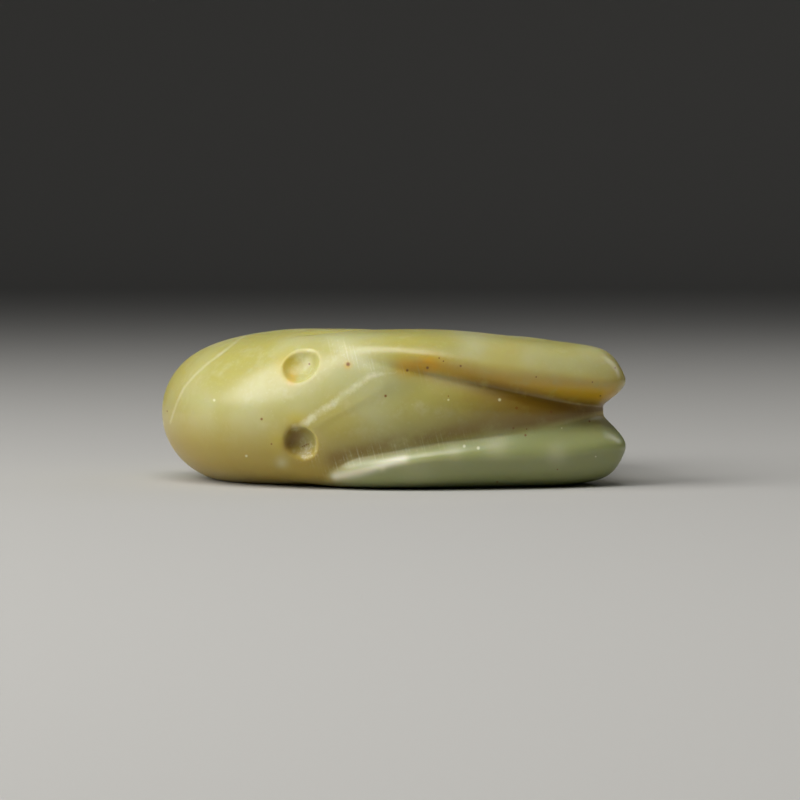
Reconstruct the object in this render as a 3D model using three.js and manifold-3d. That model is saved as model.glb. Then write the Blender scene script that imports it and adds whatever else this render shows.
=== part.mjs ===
// A pig dragon carved from one piece of yellow-green jade: a thick slit ring that lies on its side.
// Millimetres, +Z up. The snout is at -X, the ear tips are at +X, the crown of the head faces -Y, and the
// body goes round behind the head at +Y. The origin is under the middle of the carving, on its underside.
import * as THREE from 'three';
import { mergeVertices } from 'three/addons/utils/BufferGeometryUtils.js';
import Module from 'manifold-3d';

const { smoothstep, clamp, lerp, degToRad, radToDeg } = THREE.MathUtils;

// The ring: a round hole, and an outline of [angle, radius] from the middle of the hole. Angles are in
// degrees from the snout, -X, over the crown and round the back of the neck to the tail.
const HOLE_RADIUS = 9;
const HOLE_CENTRE = new THREE.Vector3(1, 3, 0);
const CHIN_ANGLE = -6;
const TAIL_ANGLE = 350;
const OUTLINE = [
  [CHIN_ANGLE, 37.2], [3, 40], [14, 42.2], [28, 44.2], [42, 45.7], [57, 46.3], [72, 46.5], [86, 46.9],
  [100, 47], [112, 47.6], [124, 48.9], [133, 50.2], [138, 50.5], [143, 48.4], [149, 42.8], [157, 37.2],
  [175, 33.2], [200, 34.6], [225, 38.4], [250, 41.6], [270, 42.6], [290, 41.6], [310, 39.2], [330, 36.8],
  [TAIL_ANGLE, 34.6],
];

// The section of the ring is an oval on edge: how far its outer edge rounds over and how flat its broad sides
// are, as [angle, value], what is taken off its upper side towards the ears, the back and the snout, and how
// far the snout sinks. A name that ends in SPAN is the stretch, [from, to], where a form comes in or fades
// out.
const THICKNESS = 26;
const OUTER_ROUNDING = [
  [50, 14], [66, 11], [80, 7], [92, 7], [110, 9], [139, 8], [150, 10], [165, 14],
];
const SIDE_FLATNESS = [[60, 2.5], [84, 3.5], [120, 4], [139, 5], [165, 2.5]];
const INNER_ROUNDING = 7;
const INNER_FLATNESS = 2.5;
const EAR_END_DROP = 2.6;
const EAR_END_X_SPAN = [4, 36];
const BACK_DROP = 3.6;
const BACK_Y_SPAN = [-20, 26];
const END_LIFT = 0.6;
const EAR_TIP_X_SPAN = [26, 36];
const SNOUT_SINK = 0.85;
const SNOUT_X_SPAN = [-34, -14];
const WORN_FLAT = 0.3;

// The valley between the ears: how far the brow and nape lie below the ears, as [angle, depth], and the two
// grooves that part the ears from the brow and close up on the notch between the ear tips.
const CROWN_FROM = 40;
const CROWN_TO = 165;
const CROWN_EDGE_SPAN = [0, 0.25];
const CUT_PASSES = 4;
const CUT_TURN_SPAN = [112, 135];
const VALLEY = [
  [66, 0], [76, 0.3], [86, 0.9], [100, 1.9], [112, 2.9], [124, 4.3], [133, 6], [138, 6.8], [143, 5.9],
  [149, 3], [157, 0],
];
const BROW_LINE_Z = 12.3;
const BROW_RISE = 1;
const BROW_X_SPAN = [4, 30];
const NOTCH_X = 34.4;
const NOTCH_HALF_WIDTH = 0.6;
const BROW_SPREAD = 0.177;
const FLARE_X = -5;
const FLARE = 0.05;
const GROOVE_DEPTH = 1.6;
const GROOVE_X_SPAN = [-15, -6];
const GROOVE_END_SPAN = [90, 140];
const UPPER_GROOVE_DELAY = 13;
const BROW_MIDDLE_SPAN = [-5, 5];
const GROOVE_SOFTNESS = 0.25;
const TIP_SOFTENING = 0.2;
const TIP_X_SPAN = [5, 30];
const UPPER_WALL = { front: 3.4, tip: 5.2 };
const LOWER_WALL = { front: 2.7, tip: 6 };
const WALL_X_SPAN = [2, 30];

// The eyes are shallow dishes drilled at an angle and a place on the section, as all places are, in degrees
// round the section from its outer edge over the upper side.
const EYES = [
  { angle: 68, place: 36.4, radius: 3.45, depth: 1.7 },
  { angle: 68.9, place: -23, radius: 2.95, depth: 2.3 },
];

// The line of the mouth round the snout, and the broad line under the ear on both sides of the head.
const MOUTH_Y = -1.5;
const MOUTH_DEPTH = 1;
const MOUTH_HALF_WIDTH = 0.9;
const MOUTH_X_SPAN = [-27, -20];
const EAR_LINE = [[62, 70], [72, 82], [84, 96], [104, 101], [125, 99], [140, 92], [150, 86]];
const EAR_LINE_DEPTH = 0.9;
const EAR_LINE_HALF_WIDTH = 4;
const EAR_LINE_START_SPAN = [60, 68];
const EAR_LINE_END_SPAN = [138, 152];

// Sections are taken at [last angle, steps that lead there], and each end of the ring rounds over.
const STATIONS = [[14, 10], [45, 6], [60, 5], [156, 54], [TAIL_ANGLE, 18]];
const END_STEPS = 4;
const END_REACH = 25;
const CHIN_ROUNDING = 1.6;
const TAIL_ROUNDING = 4;
const BROW_STEPS = 5;
const EAR_STEPS = 9;
const LINE_STEPS = 2;
const LINE_MARGIN = 6;
const HOLE_STEPS = 6;
const WIDEST_BROW = 58;
const NAPE_SPAN = [CROWN_TO, 200];
const EYE_SEGMENTS = [24, 16];
const MERGE_REACH = 1e-4;

// A smooth curve through [angle, value] stations, whose slope at each comes from its two neighbours.
function along(stations, angle) {
  const last = stations.length - 1;
  if (angle <= stations[0][0]) return stations[0][1];
  if (angle >= stations[last][0]) return stations[last][1];
  const slope = (i) => {
    const [a0, v0] = stations[Math.max(i - 1, 0)];
    const [a1, v1] = stations[Math.min(i + 1, last)];
    return (v1 - v0) / (a1 - a0);
  };
  const i = stations.findIndex(([a]) => a > angle) - 1;
  const [a0, v0] = stations[i];
  const [a1, v1] = stations[i + 1];
  const step = a1 - a0;
  const u = (angle - a0) / step;
  const ease = u * u * (3 - 2 * u);
  return v0 + (v1 - v0) * ease + step * u * (1 - u) * (slope(i) * (1 - u) - slope(i + 1) * u);
}

// 0 before a span and 1 past it, eased between them, and the other way round.
const comesIn = (value, [from, to]) => smoothstep(value, from, to);
const fadesOut = (value, span) => 1 - comesIn(value, span);

// Evenly stepped values from start through each [stop, steps].
function stepped(start, stops) {
  const values = [start];
  for (const [stop, steps] of stops) {
    const from = values[values.length - 1];
    for (let i = 1; i <= steps; i++) values.push(lerp(from, stop, i / steps));
  }
  return values;
}

const upperSide = (x, y) =>
  THICKNESS - Math.hypot(EAR_END_DROP * comesIn(x, EAR_END_X_SPAN), BACK_DROP * comesIn(y, BACK_Y_SPAN))
  - (END_LIFT + SNOUT_SINK) * fadesOut(x, SNOUT_X_SPAN);
const lowerSide = (x) =>
  END_LIFT * comesIn(x, EAR_TIP_X_SPAN) - SNOUT_SINK * fadesOut(x, SNOUT_X_SPAN) - WORN_FLAT;

const gully = (distance, halfWidth) => Math.exp(-((distance / halfWidth) ** 2));

const outwardAt = (angle) => new THREE.Vector3(-Math.cos(degToRad(angle)), -Math.sin(degToRad(angle)), 0);

// Height of the middle of the brow, which is a little higher over the head than at the notch.
const browLine = (x) => BROW_LINE_Z + BROW_RISE * fadesOut(x, BROW_X_SPAN);

// Half the width of the brow between the two grooves.
function browHalfWidth(x) {
  const flare = Math.max(FLARE_X - x, 0);
  return NOTCH_HALF_WIDTH + BROW_SPREAD * Math.max(NOTCH_X - x, 0) + FLARE * flare * flare;
}

// Depth of the valley between the ears: a convex brow that narrows and sinks towards the notch, a groove
// along each side of it, the upper one starting further back, and the round inner wall of each ear.
function valleyDepth(angle, x, z) {
  const fromLine = z - browLine(x);
  const late = UPPER_GROOVE_DELAY * comesIn(fromLine, BROW_MIDDLE_SPAN);
  const groove = GROOVE_DEPTH * comesIn(x - late, GROOVE_X_SPAN) * fadesOut(angle, GROOVE_END_SPAN);
  const floor = along(VALLEY, angle) + groove;
  const browHalf = browHalfWidth(x);
  const fromGroove = Math.abs(fromLine) - browHalf;
  const { front, tip } = fromLine > 0 ? UPPER_WALL : LOWER_WALL;
  const wall = lerp(front, tip, comesIn(x, WALL_X_SPAN));
  const power = 1 + TIP_SOFTENING * comesIn(x, TIP_X_SPAN);
  const rise = fromGroove < 0
    ? groove * (1 - (1 + fromGroove / browHalf) ** 2)
    : floor * Math.sin(Math.PI / 2 * clamp(fromGroove / wall, 0, 1)) ** power;
  return Math.max(floor + GROOVE_SOFTNESS - Math.hypot(rise, GROOVE_SOFTNESS), 0);
}

const mouthDepth = (x, y) => MOUTH_DEPTH * gully(y - MOUTH_Y, MOUTH_HALF_WIDTH) * fadesOut(x, MOUTH_X_SPAN);

const earLineDepth = (angle, place) =>
  EAR_LINE_DEPTH * gully(Math.abs(place) - along(EAR_LINE, angle), EAR_LINE_HALF_WIDTH)
  * comesIn(angle, EAR_LINE_START_SPAN) * fadesOut(angle, EAR_LINE_END_SPAN);

// The uncarved section: a point of it and the way it faces.
function blankPoint(angle, place) {
  const across = Math.cos(degToRad(place));
  const up = Math.sin(degToRad(place));
  const half = (along(OUTLINE, angle) - HOLE_RADIUS) / 2;
  const outer = across > 0;
  const rounding = outer ? Math.min(along(OUTER_ROUNDING, angle), half) : INNER_ROUNDING;
  const flatness = outer ? along(SIDE_FLATNESS, angle) : INNER_FLATNESS;
  const spread = Math.tanh(flatness * across) / Math.tanh(flatness);
  const outward = outwardAt(angle);
  const point = HOLE_CENTRE.clone()
    .addScaledVector(outward, HOLE_RADIUS + half + (half - rounding) * spread + rounding * across);
  const top = upperSide(point.x, point.y);
  const bottom = lowerSide(point.x);
  point.z = (top + bottom) / 2 + (top - bottom) / 2 * up;
  const normal = outward.multiplyScalar(across / rounding).setZ(2 * up / (top - bottom)).normalize();
  return { point, normal };
}

// A point of the carved surface, drawn in by inset where an end rounds over. The valley is cut straight in
// from the crown, turning towards the hole at the ear tips, and the lines are cut square to the surface.
function surfacePoint(angle, place, inset) {
  const { point, normal } = blankPoint(angle, place);
  const across = Math.cos(degToRad(place));
  const towardsHole = outwardAt(angle).negate();
  const inward = new THREE.Vector3(0, 1, 0).lerp(towardsHole, comesIn(angle, CUT_TURN_SPAN)).normalize();
  let cut = 0;
  if (across > 0 && angle > CROWN_FROM && angle < CROWN_TO) {
    for (let pass = 0; pass < CUT_PASSES; pass++) {
      cut = comesIn(across, CROWN_EDGE_SPAN) * valleyDepth(angle, point.x + cut * inward.x, point.z);
    }
  }
  const lines = mouthDepth(point.x, point.y) + earLineDepth(angle, place);
  point.addScaledVector(normal, -lines - inset).addScaledVector(inward, cut);
  return point.setZ(Math.max(point.z, 0));
}

// The place of a groove on the section, so that a row of the surface runs along the bottom of it.
function groovePlace(angle, side) {
  const crown = HOLE_CENTRE.clone()
    .addScaledVector(outwardAt(angle), along(OUTLINE, angle) - along(VALLEY, angle));
  const top = upperSide(crown.x, crown.y);
  const bottom = lowerSide(crown.x);
  const height = browLine(crown.x) + side * browHalfWidth(crown.x) - (top + bottom) / 2;
  const widest = Math.sin(degToRad(WIDEST_BROW));
  const place = radToDeg(Math.asin(clamp(2 * height / (top - bottom), -widest, widest)));
  return lerp(place, side * WIDEST_BROW, comesIn(angle, NAPE_SPAN));
}

// Places round a section: rows that follow the grooves and the line under each ear.
function placesAt(angle) {
  const line = along(EAR_LINE, angle);
  const middle = (groovePlace(angle, 1) + groovePlace(angle, -1)) / 2;
  const side = (sign) => stepped(middle, [
    [groovePlace(angle, sign), BROW_STEPS],
    [sign * (line - LINE_MARGIN), EAR_STEPS],
    [sign * (line + LINE_MARGIN), LINE_STEPS],
    [sign * 180, HOLE_STEPS],
  ]);
  return [...side(1), ...side(-1).slice(1, -1).reverse()];
}

// The rings that round over an end, from the flat wall of the slit, as [angle, inset].
function endRings(wallAngle, direction, rounding) {
  return stepped(0, [[90, END_STEPS]]).map((turn) => {
    const reach = rounding * (1 - Math.cos(degToRad(turn)));
    return [wallAngle + direction * radToDeg(reach / END_REACH), rounding * (1 - Math.sin(degToRad(turn)))];
  });
}

function ringList() {
  const chin = endRings(CHIN_ANGLE, 1, CHIN_ROUNDING);
  const tail = endRings(TAIL_ANGLE, -1, TAIL_ROUNDING).reverse();
  const stops = STATIONS.map(([angle, steps]) => [Math.min(angle, tail[0][0]), steps]);
  const body = stepped(chin[END_STEPS][0], stops).map((angle) => [angle, 0]);
  return [...chin.slice(0, -1), ...body, ...tail.slice(1)];
}

// A closed skin over the rings, with a point in the middle of each end.
function ringSkin() {
  const rings = ringList().map(([angle, inset]) =>
    placesAt(angle).map((place) => surfacePoint(angle, place, inset)));
  const sides = rings[0].length;
  const middleOf = (ring) => ring.reduce((sum, p) => sum.add(p), new THREE.Vector3()).divideScalar(sides);
  const points = rings.flat();
  const chinPole = points.push(middleOf(rings[0])) - 1;
  const tailPole = points.push(middleOf(rings[rings.length - 1])) - 1;
  const tailRing = (rings.length - 1) * sides;
  const index = [];
  for (let i = 0; i < sides; i++) {
    const next = (i + 1) % sides;
    for (let start = 0; start < tailRing; start += sides) {
      const ahead = start + sides;
      index.push(start + i, ahead + i, start + next, start + next, ahead + i, ahead + next);
    }
    index.push(chinPole, i, next, tailPole, tailRing + next, tailRing + i);
  }
  return new THREE.BufferGeometry().setFromPoints(points).setIndex(index);
}

// The ball that grinds an eye: it sinks to the eye's depth and leaves a dish of the eye's radius.
function eyeBall({ angle, place, radius, depth }) {
  const ballRadius = (radius ** 2 + depth ** 2) / (2 * depth);
  const { point, normal } = blankPoint(angle, place);
  const centre = point.addScaledVector(normal, ballRadius - depth);
  return new THREE.SphereGeometry(ballRadius, ...EYE_SEGMENTS).translate(centre.x, centre.y, centre.z);
}

const wasm = await Module();
wasm.setup();

function solidOf(geometry) {
  const bare = geometry.clone().deleteAttribute('normal').deleteAttribute('uv');
  const merged = mergeVertices(bare, MERGE_REACH);
  return new wasm.Manifold(new wasm.Mesh({
    numProp: 3,
    vertProperties: merged.attributes.position.array,
    triVerts: new Uint32Array(merged.index.array),
  }));
}

function stoneGeometry() {
  const carved = EYES.reduce((solid, eye) => solid.subtract(solidOf(eyeBall(eye))), solidOf(ringSkin()));
  const { vertProperties, triVerts } = carved.getMesh();
  const geometry = new THREE.BufferGeometry()
    .setAttribute('position', new THREE.BufferAttribute(vertProperties, 3))
    .setIndex(new THREE.BufferAttribute(triVerts, 1));
  geometry.computeBoundingBox();
  const { min, max } = geometry.boundingBox;
  geometry.translate(-(min.x + max.x) / 2, -(min.y + max.y) / 2, -min.z);
  geometry.computeVertexNormals();
  return geometry;
}

const jade = new THREE.MeshStandardMaterial({ color: 0xb9b581, roughness: 0.32, metalness: 0 });

const stone = new THREE.Mesh(stoneGeometry(), jade);
stone.name = 'pig_dragon';

const carving = new THREE.Group();
carving.add(stone);

export default carving;
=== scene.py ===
import math

import bpy
import numpy as np
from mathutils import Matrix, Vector


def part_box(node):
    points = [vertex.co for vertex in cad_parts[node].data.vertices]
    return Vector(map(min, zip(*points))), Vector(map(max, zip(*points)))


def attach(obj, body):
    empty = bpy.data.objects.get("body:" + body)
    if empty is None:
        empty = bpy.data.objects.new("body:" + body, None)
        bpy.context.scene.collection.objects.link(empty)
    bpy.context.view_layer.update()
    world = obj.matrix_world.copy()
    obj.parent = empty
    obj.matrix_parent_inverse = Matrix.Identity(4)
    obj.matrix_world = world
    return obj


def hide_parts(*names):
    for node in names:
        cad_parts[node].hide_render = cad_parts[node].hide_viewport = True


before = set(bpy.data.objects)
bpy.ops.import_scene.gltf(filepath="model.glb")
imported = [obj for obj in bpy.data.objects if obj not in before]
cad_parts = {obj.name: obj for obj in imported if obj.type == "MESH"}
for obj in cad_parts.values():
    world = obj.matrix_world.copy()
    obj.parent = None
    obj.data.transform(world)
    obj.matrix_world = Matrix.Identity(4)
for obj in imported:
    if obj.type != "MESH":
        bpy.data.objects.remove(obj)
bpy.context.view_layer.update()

# The stone. A pig dragon ground from one pebble of yellow-green nephrite: a thick slit ring that lies on
# its side, with a domed head, two drilled eyes, and long ears that sweep back to a notch between their tips.
# Lengths are in millimetres and angles in degrees. A name that ends in SPAN is where a form comes or goes.

MM = 0.001
HOLE_RADIUS = 9.0
HOLE_X, HOLE_Y = 1.0, 3.0
CHIN_ANGLE, TAIL_ANGLE = -6.0, 350.0
OUTLINE = [
    (CHIN_ANGLE, 37.2), (3, 40), (14, 42.2), (28, 44.2), (42, 45.7), (57, 46.3), (72, 46.5), (86, 46.9),
    (100, 47), (112, 47.6), (124, 48.9), (133, 50.2), (138, 50.5), (143, 48.4), (149, 42.8), (157, 37.2),
    (175, 33.2), (200, 34.6), (225, 38.4), (250, 41.6), (270, 42.6), (290, 41.6), (310, 39.2), (330, 36.8),
    (TAIL_ANGLE, 34.6),
]

THICKNESS = 26.0
OUTER_ROUNDING = [(50, 14), (66, 11), (80, 7), (92, 7), (110, 9), (139, 8), (150, 10), (165, 14)]
SIDE_FLATNESS = [(60, 2.5), (84, 3.5), (120, 4), (139, 5), (165, 2.5)]
INNER_ROUNDING = 7.0
INNER_FLATNESS = 2.5
EAR_END_DROP = 2.6
EAR_END_X_SPAN = 4, 36
BACK_DROP = 3.6
BACK_Y_SPAN = -20, 26
END_LIFT = 0.6
EAR_TIP_X_SPAN = 26, 36
SNOUT_SINK = 0.85
SNOUT_X_SPAN = -34, -14
WORN_FLAT = 0.3

CROWN_FROM, CROWN_TO = 40, 165
CROWN_EDGE_SPAN = 0, 0.25
CUT_PASSES = 4
CUT_TURN_SPAN = 112, 135
VALLEY = [
    (66, 0), (76, 0.3), (86, 0.9), (100, 1.9), (112, 2.9), (124, 4.3), (133, 6), (138, 6.8), (143, 5.9),
    (149, 3), (157, 0),
]
BROW_LINE_Z = 12.3
BROW_RISE = 1.0
BROW_X_SPAN = 4, 30
NOTCH_X = 34.4
NOTCH_HALF_WIDTH = 0.6
BROW_SPREAD = 0.177
FLARE_X = -5.0
FLARE = 0.05
GROOVE_DEPTH = 1.6
GROOVE_X_SPAN = -15, -6
GROOVE_END_SPAN = 90, 140
UPPER_GROOVE_DELAY = 13.0
BROW_MIDDLE_SPAN = -5, 5
GROOVE_SOFTNESS = 0.25
TIP_SOFTENING = 0.2
TIP_X_SPAN = 5, 30
UPPER_WALL, LOWER_WALL = (3.4, 5.2), (2.7, 6.0)
WALL_X_SPAN = 2, 30

EYES = [(68.0, 36.4, 3.45, 1.7), (68.9, -23.0, 2.95, 2.3)]
RIM_SOFTNESS = 0.2

MOUTH_Y = -1.5
MOUTH_DEPTH = 1.0
MOUTH_HALF_WIDTH = 0.9
MOUTH_X_SPAN = -27, -20
EAR_LINE = [(62, 70), (72, 82), (84, 96), (104, 101), (125, 99), (140, 92), (150, 86)]
EAR_LINE_DEPTH = 0.9
EAR_LINE_HALF_WIDTH = 4.0
EAR_LINE_START_SPAN = 60, 68
EAR_LINE_END_SPAN = 138, 152

CHIN_ROUNDING, TAIL_ROUNDING = 1.6, 4.0
END_REACH = 25.0
END_STEPS = 10
STATIONS = [(14, 40), (45, 44), (60, 34), (156, 256), (TAIL_ANGLE, 74)]
BROW_STEPS, EAR_STEPS, LINE_STEPS, HOLE_STEPS = 28, 46, 12, 16
LINE_MARGIN = 6.0
WIDEST_BROW = 58.0
NAPE_SPAN = CROWN_TO, 200


def comes_in(value, span):
    """0 before a span and 1 past it, with 3u^2 - 2u^3 between its two ends."""
    u = np.clip((value - span[0]) / (span[1] - span[0]), 0, 1)
    return u * u * (3 - 2 * u)


def fades_out(value, span):
    """1 before a span and 0 past it."""
    return 1 - comes_in(value, span)


def along(stations, angle):
    """Cubic Hermite curve through (angle, value) stations, its slope at each that between the neighbours."""
    at, value = np.array(stations, float).T
    before, after = np.r_[0, 0:len(at) - 1], np.r_[1:len(at), len(at) - 1]
    slope = (value[after] - value[before]) / (at[after] - at[before])
    angle = np.clip(angle, at[0], at[-1])
    i = np.clip(np.searchsorted(at, angle, side="right") - 1, 0, len(at) - 2)
    step = at[i + 1] - at[i]
    u = (angle - at[i]) / step
    ease = u * u * (3 - 2 * u)
    return (value[i] + (value[i + 1] - value[i]) * ease
            + step * u * (1 - u) * (slope[i] * (1 - u) - slope[i + 1] * u))


def upper_side(x, y):
    """Height of the upper broad side: the thickness less a smooth fall to the ears, back and snout."""
    fall = np.hypot(EAR_END_DROP * comes_in(x, EAR_END_X_SPAN), BACK_DROP * comes_in(y, BACK_Y_SPAN))
    return THICKNESS - fall - (END_LIFT + SNOUT_SINK) * fades_out(x, SNOUT_X_SPAN)


def lower_side(x):
    """Height of the lower broad side: just below the floor, lifted at the ear tips, sunk at the snout."""
    return END_LIFT * comes_in(x, EAR_TIP_X_SPAN) - SNOUT_SINK * fades_out(x, SNOUT_X_SPAN) - WORN_FLAT


def gully(distance, half_width):
    """A bell curve, e to the power of minus the square of distance over half width."""
    return np.exp(-((distance / half_width) ** 2))


def brow_line(x):
    """Height of the middle of the brow, which is a little higher over the head than at the notch."""
    return BROW_LINE_Z + BROW_RISE * fades_out(x, BROW_X_SPAN)


def brow_half_width(x):
    """Half the width of the brow: it narrows evenly to the notch and flares as a square law by the eyes."""
    flare = np.maximum(FLARE_X - x, 0)
    return NOTCH_HALF_WIDTH + BROW_SPREAD * np.maximum(NOTCH_X - x, 0) + FLARE * flare ** 2


def valley_depth(angle, x, z):
    """Depth below the ears: the brow sinks as VALLEY says and is a parabola between its grooves, of which
    the upper starts further back. Each ear's inner wall rises from its groove as a quarter sine, softened by
    a power towards the tip, and a hyperbola rounds the bottom of the groove."""
    from_line = z - brow_line(x)
    late = UPPER_GROOVE_DELAY * comes_in(from_line, BROW_MIDDLE_SPAN)
    groove = GROOVE_DEPTH * comes_in(x - late, GROOVE_X_SPAN) * fades_out(angle, GROOVE_END_SPAN)
    floor = along(VALLEY, angle) + groove
    half = brow_half_width(x)
    from_groove = np.abs(from_line) - half
    front, tip = np.where(np.array(from_line > 0)[..., None], UPPER_WALL, LOWER_WALL).T
    wall = (front + (tip - front) * comes_in(x, WALL_X_SPAN).T).T
    power = 1 + TIP_SOFTENING * comes_in(x, TIP_X_SPAN)
    rise = np.where(from_groove < 0,
                    groove * (1 - (1 + from_groove / half) ** 2),
                    floor * np.sin(np.pi / 2 * np.clip(from_groove / wall, 0, 1)) ** power)
    return np.maximum(floor + GROOVE_SOFTNESS - np.hypot(rise, GROOVE_SOFTNESS), 0)


def blank(angle, place):
    """The uncarved ring. A section is an oval: the radius runs from the hole to the outline as a hyperbolic
    tangent plus a cosine of the place, and the height as a sine between the lower and the upper side."""
    turn, lie = np.radians(angle), np.radians(place)
    across, up = np.cos(lie), np.sin(lie)
    half = (along(OUTLINE, angle) - HOLE_RADIUS) / 2
    rounding = np.where(across > 0, np.minimum(along(OUTER_ROUNDING, angle), half), INNER_ROUNDING)
    flatness = np.where(across > 0, along(SIDE_FLATNESS, angle), INNER_FLATNESS)
    spread = np.tanh(flatness * across) / np.tanh(flatness)
    radius = HOLE_RADIUS + half + (half - rounding) * spread + rounding * across
    out_x, out_y = -np.cos(turn), -np.sin(turn)
    x, y = HOLE_X + radius * out_x, HOLE_Y + radius * out_y
    top, bottom = upper_side(x, y), lower_side(x)
    z = (top + bottom) / 2 + (top - bottom) / 2 * up
    flat, rise = across / rounding, 2 * up / (top - bottom)
    length = np.hypot(flat, rise)
    point = np.stack(np.broadcast_arrays(x, y, z), -1)
    normal = np.stack(np.broadcast_arrays(flat / length * out_x, flat / length * out_y, rise / length), -1)
    return point, normal


def carve(angle, place, inset):
    """The carved ring: the blank with the valley cut straight in from the crown, turning towards the hole at
    the ear tips, then the mouth, the lines under the ears and the rounding of the ends cut square to the
    surface, the eyes ground along their own axes by a ball whose rim is eased by a square law, and what lies
    below the floor worn flat."""
    point, normal = blank(angle, place)
    turn, across = np.radians(angle), np.cos(np.radians(place))
    towards = comes_in(angle, CUT_TURN_SPAN)
    in_x, in_y = towards * np.cos(turn), 1 - towards + towards * np.sin(turn)
    length = np.hypot(in_x, in_y)
    in_x, in_y = in_x / length, in_y / length
    crown = comes_in(across, CROWN_EDGE_SPAN) * (angle > CROWN_FROM) * (angle < CROWN_TO)
    cut = 0
    for _ in range(CUT_PASSES):
        cut = crown * valley_depth(angle, point[..., 0] + cut * in_x, point[..., 2])
    mouth = MOUTH_DEPTH * gully(point[..., 1] - MOUTH_Y, MOUTH_HALF_WIDTH)
    mouth = mouth * fades_out(point[..., 0], MOUTH_X_SPAN)
    ear_line = (EAR_LINE_DEPTH * gully(np.abs(place) - along(EAR_LINE, angle), EAR_LINE_HALF_WIDTH)
                * comes_in(angle, EAR_LINE_START_SPAN) * fades_out(angle, EAR_LINE_END_SPAN))
    point = point - normal * (mouth + ear_line + inset)[..., None]
    point[..., 0] += cut * in_x
    point[..., 1] += cut * in_y
    for eye_angle, eye_place, eye_radius, eye_depth in EYES:
        ball = (eye_radius ** 2 + eye_depth ** 2) / (2 * eye_depth)
        seat, axis = blank(np.array(eye_angle), np.array(eye_place))
        offset = point - (seat + axis * (ball - eye_depth))
        height = offset @ axis
        reach = ball ** 2 - (np.sum(offset ** 2, -1) - height ** 2)
        near = (reach > 0) & (np.abs(height) < ball)
        above = np.where(near, height + np.sqrt(np.maximum(reach, 0)), -ball)
        rim = np.maximum(above + RIM_SOFTNESS, 0) ** 2 / (4 * RIM_SOFTNESS)
        point = point - np.where(above > RIM_SOFTNESS, above, rim)[..., None] * axis
    point[..., 2] = np.maximum(point[..., 2], 0)
    return point


def groove_place(angle, side):
    """The place of a groove on the section, so that a row of the mesh runs along its bottom."""
    radius = along(OUTLINE, angle) - along(VALLEY, angle)
    x = HOLE_X - radius * np.cos(np.radians(angle))
    y = HOLE_Y - radius * np.sin(np.radians(angle))
    top, bottom = upper_side(x, y), lower_side(x)
    share = (2 * (brow_line(x) + side * brow_half_width(x)) - top - bottom) / (top - bottom)
    widest = math.sin(math.radians(WIDEST_BROW))
    place = np.degrees(np.arcsin(np.clip(share, -widest, widest)))
    return place + (side * WIDEST_BROW - place) * comes_in(angle, NAPE_SPAN)


def stepped(start, stops):
    """Evenly stepped columns from start through each (stop, steps), side by side."""
    columns = [start[:, None]]
    for stop, steps in stops:
        share = np.arange(1, steps + 1) / steps
        last = columns[-1][:, -1:]
        columns.append(last + (np.reshape(stop, (-1, 1)) - last) * share)
    return np.hstack(columns)


def places(angle):
    """Rows of places round every section, which follow the grooves and the line under each ear."""
    upper, lower = groove_place(angle, 1), groove_place(angle, -1)
    line = along(EAR_LINE, angle)
    sides = [
        stepped((upper + lower) / 2, [
            (groove, BROW_STEPS),
            (sign * (line - LINE_MARGIN), EAR_STEPS),
            (sign * (line + LINE_MARGIN), LINE_STEPS),
            (np.full_like(angle, sign * 180.0), HOLE_STEPS),
        ])
        for sign, groove in ((1, upper), (-1, lower))
    ]
    return np.hstack([sides[0], sides[1][:, -2:0:-1]])


def end_rings(wall_angle, direction, rounding):
    """Angles and insets of the rings that turn an end over through a quarter circle."""
    turn = np.linspace(0, np.pi / 2, END_STEPS + 1)
    angle = wall_angle + direction * np.degrees(rounding * (1 - np.cos(turn)) / END_REACH)
    return angle, rounding * (1 - np.sin(turn))


def ring_grid():
    """The points of the skin, one row for each section from the chin to the tail."""
    chin_angle, chin_inset = end_rings(CHIN_ANGLE, 1, CHIN_ROUNDING)
    tail_angle, tail_inset = end_rings(TAIL_ANGLE, -1, TAIL_ROUNDING)
    body = stepped(chin_angle[-1:], [(min(stop, tail_angle[-1]), steps) for stop, steps in STATIONS])[0]
    angle = np.r_[chin_angle[:-1], body, tail_angle[-2::-1]]
    inset = np.r_[chin_inset[:-1], np.zeros_like(body), tail_inset[-2::-1]]
    place = places(angle)
    return carve(angle[:, None] + 0 * place, place, inset[:, None] + 0 * place)


def faces_between(rings, sides):
    """The four-sided faces that join each ring of points to the next."""
    ring, side = np.meshgrid(np.arange(rings - 1) * sides, np.arange(sides), indexing="ij")
    after = (side + 1) % sides
    faces = np.stack([ring + side, ring + sides + side, ring + sides + after, ring + after], -1)
    return faces.reshape(-1, 4).tolist()


def skin_mesh(name, grid):
    """A closed mesh over a grid of rings, each joined to the next, and the ends closed to their middles."""
    rings, sides = grid.shape[:2]
    points = np.vstack([grid.reshape(-1, 3), grid[0].mean(0), grid[-1].mean(0)])
    side, after, last = np.arange(sides), (np.arange(sides) + 1) % sides, (rings - 1) * sides
    chin = np.stack([np.full(sides, rings * sides), side, after], -1)
    tail = np.stack([np.full(sides, rings * sides + 1), last + after, last + side], -1)
    mesh = bpy.data.meshes.new(name)
    mesh.from_pydata(points, [], faces_between(rings, sides) + chin.tolist() + tail.tolist())
    mesh.shade_smooth()
    return mesh


# The middle of the carving's box goes over the middle of its node's box, and it stands on the same floor.
grid = ring_grid()
low, high = grid.reshape(-1, 3).min(0), grid.reshape(-1, 3).max(0)
node_low, node_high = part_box("pig_dragon")
centre = np.array([(low[0] + high[0]) / 2, (low[1] + high[1]) / 2, 0])
seat = np.array([(node_low[0] + node_high[0]) / 2, (node_low[1] + node_high[1]) / 2, node_low[2]])


def to_row(point):
    """A place on the carving in millimetres, as metres in the frame of the part."""
    return (np.asarray(point, float) - centre) * MM + seat


stone = bpy.data.objects.new("jade_stone", skin_mesh("jade_stone", to_row(grid)))
bpy.context.collection.objects.link(stone)

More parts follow.
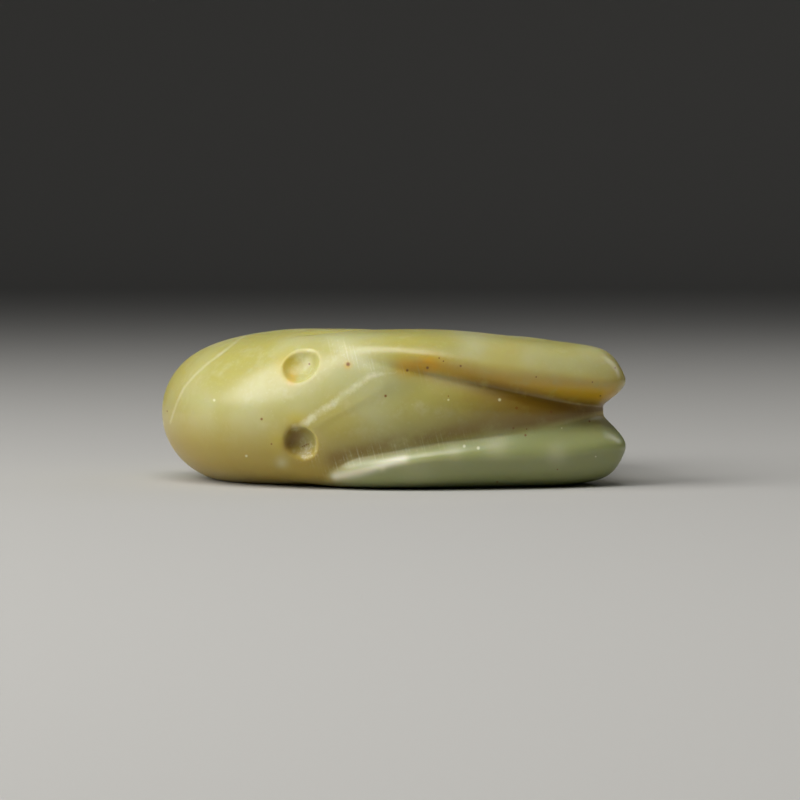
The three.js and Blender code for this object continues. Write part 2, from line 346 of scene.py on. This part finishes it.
# The marks on the stone, as paths of (x, z) places seen from the front: veins and stain run back into it.
# The white streak along the lower ear's front is a painted highlight, and the worn facet is partly a painted
# sheen.
ARC_VEIN = [
    (-37.9, 10.0), (-37.2, 11.9), (-36.5, 13.7), (-35.2, 16.2), (-33.3, 18.4), (-31.4, 20.1), (-29.3, 21.7),
    (-26.1, 24.2), (-23.0, 26.4),
]
BROW_VEIN = [
    (-16.2, 10.2), (-14.8, 10.8), (-13.6, 11.9), (-11.8, 13.1), (-9.4, 14.6), (-8.4, 15.9), (-6.6, 16.9),
    (-5.2, 18.1), (-4.1, 18.7), (-2.5, 19.1), (0.2, 19.4), (3.6, 21.2), (7.3, 22.0), (10.6, 22.6),
    (14.4, 23.6), (17.3, 24.4), (19.9, 24.8),
]
OCHRE_BAND = [
    (1.5, 20.3), (4.1, 20.5), (6.7, 20.1), (9.8, 19.0), (13.9, 18.0), (18.8, 16.9), (25.5, 16.0),
    (32.2, 15.1), (35.4, 14.4),
]
BROWN_EDGE = [
    (-9.8, 5.2), (-7.3, 6.0), (-3.2, 7.0), (0.8, 7.9), (5.7, 8.7), (10.6, 9.6), (15.5, 10.6), (22, 11.4),
]
PALE_EDGE = [(5.7, 18.9), (8.5, 18.2), (11.1, 17.4), (13.9, 16.6), (17.2, 15.7), (20.5, 15.0)]
# A painted highlight: a white streak along the front of the lower ear, where the polish catches the light.
HIGHLIGHT_STREAK = [(-9.6, 2.2), (-8.1, 2.5), (-6.0, 3.0), (-4.0, 3.6), (-2.1, 4.3), (0.0, 4.9), (1.6, 5.3)]
# A worn facet at the front of the upper ear: ground and whitened stone, painted paler too as a painted sheen
# where it faces the light.
FACET = [(-10.3, 24.9), (-8.1, 23.4), (-6.0, 21.6), (-4.1, 20.4)]

# Round zones of one colour or finish, as (x, z, reach, share).
YELLOW_ZONES = [
    (17.5, 20.2, 6.0, 0.45), (-17.3, 20.4, 2.0, 1.0), (-15.8, 11.3, 1.7, 0.7), (-18.7, 8.0, 1.6, 0.6),
    (-9.0, 12.0, 4.0, 0.3), (2.0, 22.0, 3.0, 0.3),
]
OCHRE_ZONES = [(-16.8, 18.3, 0.9, 0.7), (5.4, 20.4, 1.8, 0.5), (2.4, 20.5, 1.3, 0.2), (-7.5, 20.6, 0.6, 0.7)]
# Painted shadow: brown on the upper-left wall of the lower eye, where its shade falls.
PIT_SHADE_ZONES = [(-16.2, 9.2, 1.5, 0.9), (-17.3, 7.4, 1.2, 0.8)]
PALE_ZONES = [
    (9.8, 6.4, 1.6, 0.4), (16.7, 7.4, 2.2, 0.5), (26.6, 5.7, 1.8, 0.5), (-18.5, 4.4, 1.0, 0.5),
    (3.5, 5.0, 3.5, 0.3), (13.0, 23.6, 2.0, 0.5), (22.0, 21.4, 1.4, 0.3), (-1.9, 3.8, 0.5, 0.8),
]
DRILLED = [(-15.9, 20.6, 3.3, 1.0), (-15.2, 7.5, 3.0, 1.0)]
# The right walls of the eyes, which face the light: rough ground stone, and a painted highlight in
# near-white.
ABRADED_AND_LIT_ZONES = [(-14.0, 6.4, 1.6, 0.9), (-13.8, 19.6, 1.2, 0.6)]

# Where each colour and finish comes in or fades out, along x, y or z, or away from a groove, or as the share
# of a path, and below them how wide and how strong each one is.
# The honey towards the chin is painted shade: it deepens the colour towards the bottom of the head.
CHIN_SHADE_Z_SPAN = 3, 15
CHIN_SHADE_X_SPAN = -14, 2
HONEY_TIP_X_SPAN = 30, 38
HONEY_SNOUT_X_SPAN = -39, -29
GREY_SPAN = -0.3, 0.9
GREY_X_SPAN = -13, -5
GROOVE_BROWN_X_SPAN = 6, 16
WEDGE_SHADE_X_SPAN = 2, 24
WEDGE_SHADE_EDGE_SPAN = -1.2, 0.4
BROWN_EDGE_SHARE_SPAN = 0.5, 1.0
VEIN_SHARE_SPAN = 0.5, 0.72
PALE_EDGE_SHARE_SPAN = 0.2, 1.0
STROKE_START_X_SPAN = -14, -8
STROKE_END_X_SPAN = 2, 18
FACET_Y_SPAN = -39, -32
FRONT_Y_SPAN = -14, -4
CROWN_Y_SPAN = -24, -12

CHIN_HONEY_SHADE, TIP_HONEY, SNOUT_HONEY = 0.9, 0.3, 0.25
OCHRE_HALF_WIDTH, OCHRE_WIDENING = 1.5, 1.2
OCHRE_SHARE, OCHRE_DEEPENING = 0.6, 0.4
# Brown stain in the grooves with painted shade: partly shade under the brow's lower edge and under the upper
# ear, and all painted shade on the brow's narrow end between the ears.
EDGE_BROWN_AND_SHADE, GROOVE_BROWN_AND_SHADE, WEDGE_SHADE = 0.7, 0.8, 0.9
BROWN_EDGE_HALF_WIDTH, BROWN_GROOVE_HALF_WIDTH = 1.5, 1.1
BROWN_GROOVE_OFFSET = 0.3
EDGE_PALE, FACET_PALE_AND_SHEEN = 0.4, 0.4
PALE_EDGE_HALF_WIDTH, FACET_HALF_WIDTH = 0.9, 1.1
GROUND_OFFSET, GROUND_HALF_WIDTH = 0.2, 1.2
UPPER_GROUND = 0.5
DRILLED_FROST = 0.25
STROKE_GRIT = 0.4
STROKE_LEAN = 0.27
HIGHLIGHT_SHARE, HIGHLIGHT_HALF_WIDTH = 0.8, 0.75
FACET_ABRASION_AND_SHEEN = 0.6
VEIN_THINNING = 1.2
OUT_OF_REACH = 9.0


def way_to(path, x, z):
    """Distance from every point to the nearest straight piece of a path, and the share of the path there."""
    path = np.array(path, float)
    nearest, share = np.full(x.shape, np.inf), np.zeros(x.shape)
    for i, (start, stop) in enumerate(zip(path[:-1], path[1:])):
        reach = stop - start
        u = np.clip(((x - start[0]) * reach[0] + (z - start[1]) * reach[1]) / (reach @ reach), 0, 1)
        away = np.hypot(x - start[0] - u * reach[0], z - start[1] - u * reach[1])
        share = np.where(away < nearest, (i + u) / (len(path) - 1), share)
        nearest = np.minimum(away, nearest)
    return nearest, share


def zones(x, z, spots):
    """The sum of bell curves round the spots, each as high as its share."""
    return sum(share * gully(np.hypot(x - at_x, z - at_z), reach) for at_x, at_z, reach, share in spots)


def stone_marks(x, y, z):
    """What each point of the stone carries: distances to the veins, the way along the strokes of the
    grinding, and from 0 to 1 how much it has of each colour, how far it was left unpolished, and how near it
    is to the front and to the hidden sides. Some of the colours are painted shade and painted highlight.
    Bands are bell curves across their paths."""
    crown, front = fades_out(y, CROWN_Y_SPAN), fades_out(y, FRONT_Y_SPAN)
    from_line = z - brow_line(x)
    from_groove = np.abs(from_line) - brow_half_width(x)
    below, above = from_line < 0, from_line >= 0
    arc, _ = way_to(ARC_VEIN, x, z)
    vein, vein_share = way_to(BROW_VEIN, x, z)
    band, band_share = way_to(OCHRE_BAND, x, z)
    brown_edge, brown_share = way_to(BROWN_EDGE, x, z)
    pale_edge, pale_share = way_to(PALE_EDGE, x, z)
    painted_highlight, _ = way_to(HIGHLIGHT_STREAK, x, z)
    facet, _ = way_to(FACET, x, z)
    # Honey towards the ear tips and the snout, and as painted shade towards the bottom of the head.
    honey_and_shade = (CHIN_HONEY_SHADE * fades_out(z, CHIN_SHADE_Z_SPAN) * fades_out(x, CHIN_SHADE_X_SPAN)
             + TIP_HONEY * comes_in(x, HONEY_TIP_X_SPAN) + SNOUT_HONEY * fades_out(x, HONEY_SNOUT_X_SPAN))
    ochre = gully(band, OCHRE_HALF_WIDTH + OCHRE_WIDENING * band_share)
    ochre = ochre * (OCHRE_SHARE + OCHRE_DEEPENING * band_share) + zones(x, z, OCHRE_ZONES)
    # Brown: stain and painted shade under the brow's lower edge and the upper ear, painted shade on the
    # brow's narrow end, and a painted shadow in the lower eye.
    edge_brown_and_shade = gully(brown_edge, BROWN_EDGE_HALF_WIDTH) * fades_out(brown_share, BROWN_EDGE_SHARE_SPAN)
    groove_brown_and_shade = gully(from_groove - BROWN_GROOVE_OFFSET, BROWN_GROOVE_HALF_WIDTH) * above
    wedge_shade = fades_out(from_groove, WEDGE_SHADE_EDGE_SPAN) * comes_in(x, WEDGE_SHADE_X_SPAN)
    brown_and_shade = (EDGE_BROWN_AND_SHADE * edge_brown_and_shade + GROOVE_BROWN_AND_SHADE * groove_brown_and_shade * comes_in(x, GROOVE_BROWN_X_SPAN)
             + WEDGE_SHADE * wedge_shade + zones(x, z, PIT_SHADE_ZONES))
    # The worn facet: ground and whitened, and painted paler as a painted sheen.
    worn_facet_and_sheen = gully(facet, FACET_HALF_WIDTH) * fades_out(y, FACET_Y_SPAN)
    pale = gully(pale_edge, PALE_EDGE_HALF_WIDTH) * fades_out(pale_share, PALE_EDGE_SHARE_SPAN)
    pale = EDGE_PALE * pale + FACET_PALE_AND_SHEEN * worn_facet_and_sheen + zones(x, z, PALE_ZONES)
    pitted = np.clip(zones(x, z, DRILLED), 0, 1)
    ground = gully(from_groove + GROUND_OFFSET, GROUND_HALF_WIDTH) * (below + UPPER_GROUND * above)
    ground = ground * comes_in(x, STROKE_START_X_SPAN)
    grey = comes_in(-from_line - brow_half_width(x), GREY_SPAN) * comes_in(x, GREY_X_SPAN)
    thinning = VEIN_THINNING * comes_in(vein_share, VEIN_SHARE_SPAN)
    whole = {
        "arc_vein": arc + OUT_OF_REACH * (1 - front),
        "brow_vein": vein + OUT_OF_REACH * (1 - crown) + thinning,
        "stroke": x + STROKE_LEAN * from_line,
        "honey_and_shade": np.clip(honey_and_shade * front, 0, 1),
        "grit": np.clip(STROKE_GRIT + pitted, 0, 1),
        "front": front,
    }
    on_crown = {
        "yellow": zones(x, z, YELLOW_ZONES),
        "grey": grey,
        "ochre": ochre,
        "brown_and_shade": brown_and_shade,
        "pale": pale,
        # The painted highlight along the lower ear's front.
        "painted_highlight": HIGHLIGHT_SHARE * gully(painted_highlight, HIGHLIGHT_HALF_WIDTH),
        "ground": ground + pitted + worn_facet_and_sheen,
        "frosted": ground * fades_out(x, STROKE_END_X_SPAN) + DRILLED_FROST * pitted,
        "abrasion_and_highlight": zones(x, z, ABRADED_AND_LIT_ZONES) + FACET_ABRASION_AND_SHEEN * worn_facet_and_sheen,
    }
    return {**whole, **{name: np.clip(share * crown, 0, 1) for name, share in on_crown.items()}}


skin = np.vstack([grid.reshape(-1, 3), grid[0].mean(0), grid[-1].mean(0)])
marks = stone_marks(*skin.T)
for name, values in marks.items():
    attribute = stone.data.attributes.new(name, "FLOAT", "POINT")
    attribute.data.foreach_set("value", np.ascontiguousarray(values, dtype=np.float32))


def srgb(code):
    """An sRGB hex colour as linear red, green, blue and alpha 1."""
    parts = np.array([int(code[i:i + 2], 16) / 255 for i in (1, 3, 5)])
    linear = np.where(parts <= 0.04045, parts / 12.92, ((parts + 0.055) / 1.055) ** 2.4)
    return (*linear, 1.0)


def add(tree, kind, inputs, output=0, **settings):
    """Adds a shader node with its settings, fills or links its inputs, and gives back an output if any."""
    node = tree.nodes.new("ShaderNode" + kind)
    for name, value in settings.items():
        setattr(node, name, value)
    for socket, value in inputs.items():
        if isinstance(value, bpy.types.NodeSocket):
            tree.links.new(value, node.inputs[socket])
        else:
            node.inputs[socket].default_value = value
    return node.outputs[output] if node.outputs else None


YELLOW_GREEN = "#C3C18A"
OLIVE = "#BAB364"
CLOUD = "#D0D0A8"
# Honey, also used as painted shade low on the head.
HONEY_AND_SHADE = "#AC9218"
YELLOW = "#C6B43E"
GREY_GREEN = "#A2A870"
OCHRE = "#DEB012"
# Brown for stain in the grooves and for painted shade.
BROWN_AND_SHADE = "#88680A"
VEIN = "#E4E2BE"
# Near-white for bruised stone and for painted highlight.
BRUISE_AND_HIGHLIGHT = "#EDEAD6"
INCLUSION = "#8A5A10"

# Small dark inclusions and pale ones, as (x, z, radius). Each fades from its core to its rim, which are
# given as shares of the radius.
DARK_DOTS = [
    (-21.7, 11.6, 0.2), (-20.1, 7.5, 0.14), (-13.9, 20.6, 0.16), (-7.5, 20.7, 0.3), (-1.4, 15.6, 0.2),
    (2.1, 19.7, 0.2), (5.4, 20.1, 0.22), (7.3, 21.7, 0.12), (8.0, 21.2, 0.12), (8.8, 15.5, 0.1),
    (16.9, 1.2, 0.16), (19.5, 10.1, 0.16), (20.0, 13.4, 0.22), (21.5, 8.9, 0.18), (21.7, 9.9, 0.12),
    (23.2, 18.5, 0.12), (25.8, 12.6, 0.2), (32.4, 10.8, 0.16), (34.1, 15.1, 0.14), (36.6, 19.7, 0.14),
    (-38.5, 11.9, 0.14), (10.8, 20.4, 0.16), (32.6, 17.5, 0.12), (26.8, 3.2, 0.12), (-15.0, 7.1, 0.1),
    (-14.7, 7.2, 0.12), (-14.4, 7.4, 0.12), (-14.1, 7.5, 0.1),
]
PALE_DOTS = [
    (-29.8, 14.4, 0.2), (-24.4, 5.3, 0.2), (11.4, 7.3, 0.22), (13.7, 7.0, 0.24), (17.2, 14.8, 0.22),
    (8.8, 14.9, 0.16), (27.6, 9.9, 0.12), (33.2, 5.2, 0.12),
]
DOT_RIM, DOT_CORE = 1.5, 0.5

# Noise in the stone, as (name, size in millimetres, roughness), and the gap between strokes of the grinding.
NOISES = [("clouds", 16, 0.5), ("mottle", 4, 0.6), ("lumps", 2.2, 0.5), ("grit", 0.7, 0.7)]
NOISE_DETAIL = 3
STROKE_GAP = 0.42
STROKE_DETAIL = 2

# Shares drawn from the noise, as (name, noise, start, full, least, most): the share is least where the noise
# is below start and most where it is above full.
EASED = [
    ("clouds", "clouds", 0.38, 0.62, 0, 1), ("mottle", "mottle", 0.5, 0.75, 0, 0.4),
    ("broken", "mottle", 0.2, 0.5, 0.4, 1), ("flecks", "lumps", 0.4, 0.6, 0.35, 0.75),
    ("specks", "grit", 0.55, 0.75, 0, 0.25), ("scratch", "worked", 0.48, 0.68, 0, 0.5),
]

# The veins fade from their core to their rim, in millimetres, and the grit makes their edges wander.
WANDER = 1.2
ARC_WANDER_SHARE = 0.25
ARC_RIM, ARC_CORE, ARC_SHARE = 0.3, 0.05, 0.35
BROW_RIM, BROW_CORE = 0.8, 0.1

# The colours laid one over the other on the yellow-green, as (share, colour). The honey and the brown carry
# painted shade too, and the streak and the bruise painted highlight.
LAYERS = [
    ("clouds", OLIVE), ("mottle", CLOUD), ("specks", CLOUD), ("honey_and_shade", HONEY_AND_SHADE), ("yellow", YELLOW),
    ("grey", GREY_GREEN), ("ochre", OCHRE), ("brown_and_shade", BROWN_AND_SHADE), ("pale", CLOUD), ("brow", VEIN),
    ("arc", VEIN), ("frost", CLOUD), ("painted_highlight", BRUISE_AND_HIGHLIGHT), ("bruise_and_highlight", BRUISE_AND_HIGHLIGHT), ("light", VEIN),
    ("dark", INCLUSION),
]

# Relief in millimetres, and the roughness where the stone is polished and where it was left ground. The
# polished one stays above 0.28, below which the render's denoiser draws faint rings round the eyes.
STROKE_RELIEF = 0.07
RIPPLE_RELIEF = 0.03
POLISHED_ROUGHNESS, GROUND_ROUGHNESS = 0.29, 0.45


def dots(tree, place, front, spots):
    """1 inside each spot and 0 outside. A spot is a round rod that runs straight back from the crown."""
    flat = add(tree, "VectorMath", {0: place, 1: (1, 0, 1)}, operation="MULTIPLY")
    found = 0.0
    for x, z, radius in spots:
        spot = to_row((x, 0, z)) * (1, 0, 1)
        away = add(tree, "VectorMath", {0: flat, 1: spot}, "Value", operation="DISTANCE")
        rim, core = DOT_RIM * radius * MM, DOT_CORE * radius * MM
        inside = add(tree, "MapRange", {"Value": away, "From Min": rim, "From Max": core})
        found = add(tree, "Math", {0: found, 1: inside}, operation="MAXIMUM")
    return add(tree, "Math", {0: found, 1: front}, operation="MULTIPLY")


def stone_noises(tree, place, mark):
    """Each noise by its name, and the work of the tools: strokes in the grooves, more grit in the eyes."""
    noise = {
        name: add(tree, "TexNoise", {
            "Vector": place, "Scale": 1 / (size * MM), "Detail": NOISE_DETAIL, "Roughness": rough,
        })
        for name, size, rough in NOISES
    }
    strokes = add(tree, "TexNoise", {
        "W": mark["stroke"], "Scale": 1 / STROKE_GAP, "Detail": STROKE_DETAIL,
    }, noise_dimensions="1D")
    noise["worked"] = add(tree, "Mix", {0: mark["grit"], 2: strokes, 3: noise["grit"]})
    return noise


def vein_shares(tree, mark, grit):
    """How much of the arc-shaped vein and of the brow's vein a point has, 0 to 1."""
    wander = add(tree, "Math", {0: grit, 1: WANDER, 2: -WANDER / 2}, operation="MULTIPLY_ADD")
    arc_away = add(tree, "Math", {
        0: wander, 1: ARC_WANDER_SHARE, 2: mark["arc_vein"],
    }, operation="MULTIPLY_ADD")
    brow_away = add(tree, "Math", {0: wander, 1: mark["brow_vein"]})
    arc = add(tree, "MapRange", {
        "Value": arc_away, "From Min": ARC_RIM, "From Max": ARC_CORE, "To Max": ARC_SHARE,
    })
    brow = add(tree, "MapRange", {"Value": brow_away, "From Min": BROW_RIM, "From Max": BROW_CORE})
    return arc, brow


def stone_colour(tree, place, mark, noise):
    """The colours of LAYERS mixed in turn, each by the share of it that the marks and the noise give."""
    eased = {
        name: add(tree, "MapRange", {
            "Value": noise[drawn_from], "From Min": start, "From Max": full, "To Min": least, "To Max": most,
        }, interpolation_type="SMOOTHSTEP")
        for name, drawn_from, start, full, least, most in EASED
    }
    arc, brow = vein_shares(tree, mark, noise["grit"])
    mixed = {
        name: add(tree, "Math", {0: first, 1: second}, operation="MULTIPLY")
        for name, first, second in (
            ("ochre", mark["ochre"], eased["broken"]), ("brown_and_shade", mark["brown_and_shade"], eased["broken"]),
            ("pale", mark["pale"], eased["broken"]), ("brow", brow, eased["flecks"]),
            ("frost", eased["scratch"], mark["frosted"]), ("bruise_and_highlight", eased["scratch"], mark["abrasion_and_highlight"]),
        )
    }
    dark = dots(tree, place, mark["front"], DARK_DOTS)
    light = dots(tree, place, mark["front"], PALE_DOTS)
    share = {**mark, **eased, **mixed, "arc": arc, "dark": dark, "light": light}
    colour = srgb(YELLOW_GREEN)
    for name, over in LAYERS:
        colour = add(tree, "Mix", {0: share[name], 6: colour, 7: srgb(over)}, 2, data_type="RGBA")
    return colour


def stone_relief(tree, mark, noise):
    """The strokes and the grit where the stone was left ground, and a skin that ripples under the polish."""
    cut = add(tree, "Math", {0: noise["worked"], 1: mark["ground"]}, operation="MULTIPLY")
    ripple = add(tree, "Math", {0: noise["mottle"], 1: RIPPLE_RELIEF}, operation="MULTIPLY")
    relief = add(tree, "Math", {0: cut, 1: STROKE_RELIEF, 2: ripple}, operation="MULTIPLY_ADD")
    return add(tree, "Bump", {"Height": relief, "Distance": MM, "Strength": 1.0})


def polished_nephrite():
    """Yellow-green nephrite jade, polished by hand: waxy, with soft edges to its highlights, and light that
    sinks in and comes back warmer. It has paler veins, ochre stain in the grooves, brown stain in the
    grooves with painted shade under the ears and the brow and in the lower eye, honey that deepens towards
    the chin as painted shade, a grey-green lower ear, a painted highlight along the lower ear's front, a
    painted sheen on the upper ear's worn facet and painted highlight on the eyes' lit walls. The grooves and
    the eyes keep the strokes and the grit of the grinding and are duller."""
    material = bpy.data.materials.new("polished_nephrite")
    material.use_nodes = True
    tree = material.node_tree
    tree.nodes.clear()
    place = add(tree, "TexCoord", {}, "Object")
    mark = {name: add(tree, "Attribute", {}, "Fac", attribute_name=name) for name in marks}
    noise = stone_noises(tree, place, mark)
    dull = add(tree, "MapRange", {
        "Value": mark["ground"], "To Min": POLISHED_ROUGHNESS, "To Max": GROUND_ROUGHNESS,
    })
    shader = add(tree, "BsdfPrincipled", {
        "Base Color": stone_colour(tree, place, mark, noise),
        "Roughness": dull,
        "Normal": stone_relief(tree, mark, noise),
        "IOR": 1.61,
        "Subsurface Weight": 0.85,
        "Subsurface Radius": (1.0, 0.7, 0.25),
        "Subsurface Scale": 2.0 * MM,
    })
    add(tree, "OutputMaterial", {"Surface": shader})
    return material


stone.data.materials.append(polished_nephrite())
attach(stone, "root")
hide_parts("pig_dragon")

# The studio. A seamless pale floor that curves up all round, as a paper sweep does, and soft light: a soft
# box to the upper left in front, a wider one overhead, a weak one behind, and pale air above. Lengths are in
# metres.

FLOOR_RADIUS, FLOOR_RINGS = 2.6, 12
MIDDLE_RADIUS = 0.05
SWEEP_RADIUS, SWEEP_RINGS = 1.2, 16
SWEEP_SIDES = 96
PAPER = "#B9B7B2"
AIR = "#F2F4F6"


def sweep_mesh(name):
    """A disc that turns up round its rim through a quarter circle: a profile carried round the Z axis."""
    turn = np.linspace(0, np.pi / 2, SWEEP_RINGS + 1)[1:]
    flat = np.linspace(MIDDLE_RADIUS, FLOOR_RADIUS, FLOOR_RINGS)
    radius = np.r_[flat, FLOOR_RADIUS + SWEEP_RADIUS * np.sin(turn)][:, None]
    height = np.r_[np.zeros_like(flat), SWEEP_RADIUS * (1 - np.cos(turn))][:, None]
    around = np.linspace(0, 2 * np.pi, SWEEP_SIDES, endpoint=False)
    points = np.stack([radius * np.cos(around), radius * np.sin(around), height + 0 * around], -1)
    middle = list(range(SWEEP_SIDES))
    mesh = bpy.data.meshes.new(name)
    mesh.from_pydata(points.reshape(-1, 3), [], faces_between(*points.shape[:2]) + [middle])
    mesh.shade_smooth()
    return mesh


def matt_paper():
    """Pale matt backdrop paper: no gloss, the colour of warm plaster."""
    material = bpy.data.materials.new("matt_paper")
    material.use_nodes = True
    shader = material.node_tree.nodes["Principled BSDF"]
    shader.inputs["Base Color"].default_value = srgb(PAPER)
    shader.inputs["Roughness"].default_value = 0.9
    return material


floor = bpy.data.objects.new("floor", sweep_mesh("floor"))
bpy.context.collection.objects.link(floor)
floor.data.materials.append(matt_paper())


def soft_box(name, place, aim, size, watts):
    """A white area light that faces a point."""
    light = bpy.data.lights.new(name, "AREA")
    light.shape = "RECTANGLE"
    light.size, light.size_y = size
    light.energy = watts
    holder = bpy.data.objects.new(name, light)
    holder.location = place
    holder.rotation_euler = (Vector(aim) - Vector(place)).to_track_quat("-Z", "Y").to_euler()
    bpy.context.collection.objects.link(holder)


soft_box("key_light", place=(-0.608, -0.284, 0.448), aim=(0, -0.03, 0.012), size=(0.62, 0.62), watts=5.8)
soft_box("top_light", place=(-0.1, -0.37, 0.83), aim=(0, 0, 0.012), size=(0.7, 0.5), watts=4.5)
soft_box("rim_light", place=(0.6, 0.45, 0.5), aim=(0, 0, 0.012), size=(0.3, 0.4), watts=0.6)

world = bpy.data.worlds.new("pale_air")
world.use_nodes = True
world.node_tree.nodes["Background"].inputs["Color"].default_value = srgb(AIR)
world.node_tree.nodes["Background"].inputs["Strength"].default_value = 0.04
bpy.context.scene.world = world

# The picture keeps sRGB colours as they are, so that the stone shows the colours written above.
bpy.context.scene.view_settings.view_transform = "Standard"

# The camera stands a little above the floor in front of the crown, and the picture is square.
CAMERA_DISTANCE = 0.6
CAMERA_ELEVATION = 2.5
MM_PER_PIXEL = 0.1656
PICTURE_PIXELS = 800
SENSOR_WIDTH = 36
AIM = Vector((0.00162, -0.0315, 0.0144))

lens = bpy.data.cameras.new("camera")
lens.sensor_width = SENSOR_WIDTH
lens.lens = SENSOR_WIDTH * CAMERA_DISTANCE / (PICTURE_PIXELS * MM_PER_PIXEL * MM)
camera = bpy.data.objects.new("camera", lens)
tilt = math.radians(CAMERA_ELEVATION)
camera.location = AIM + CAMERA_DISTANCE * Vector((0, -math.cos(tilt), math.sin(tilt)))
camera.rotation_euler = (math.pi / 2 - tilt, 0, 0)
bpy.context.collection.objects.link(camera)
bpy.context.scene.camera = camera
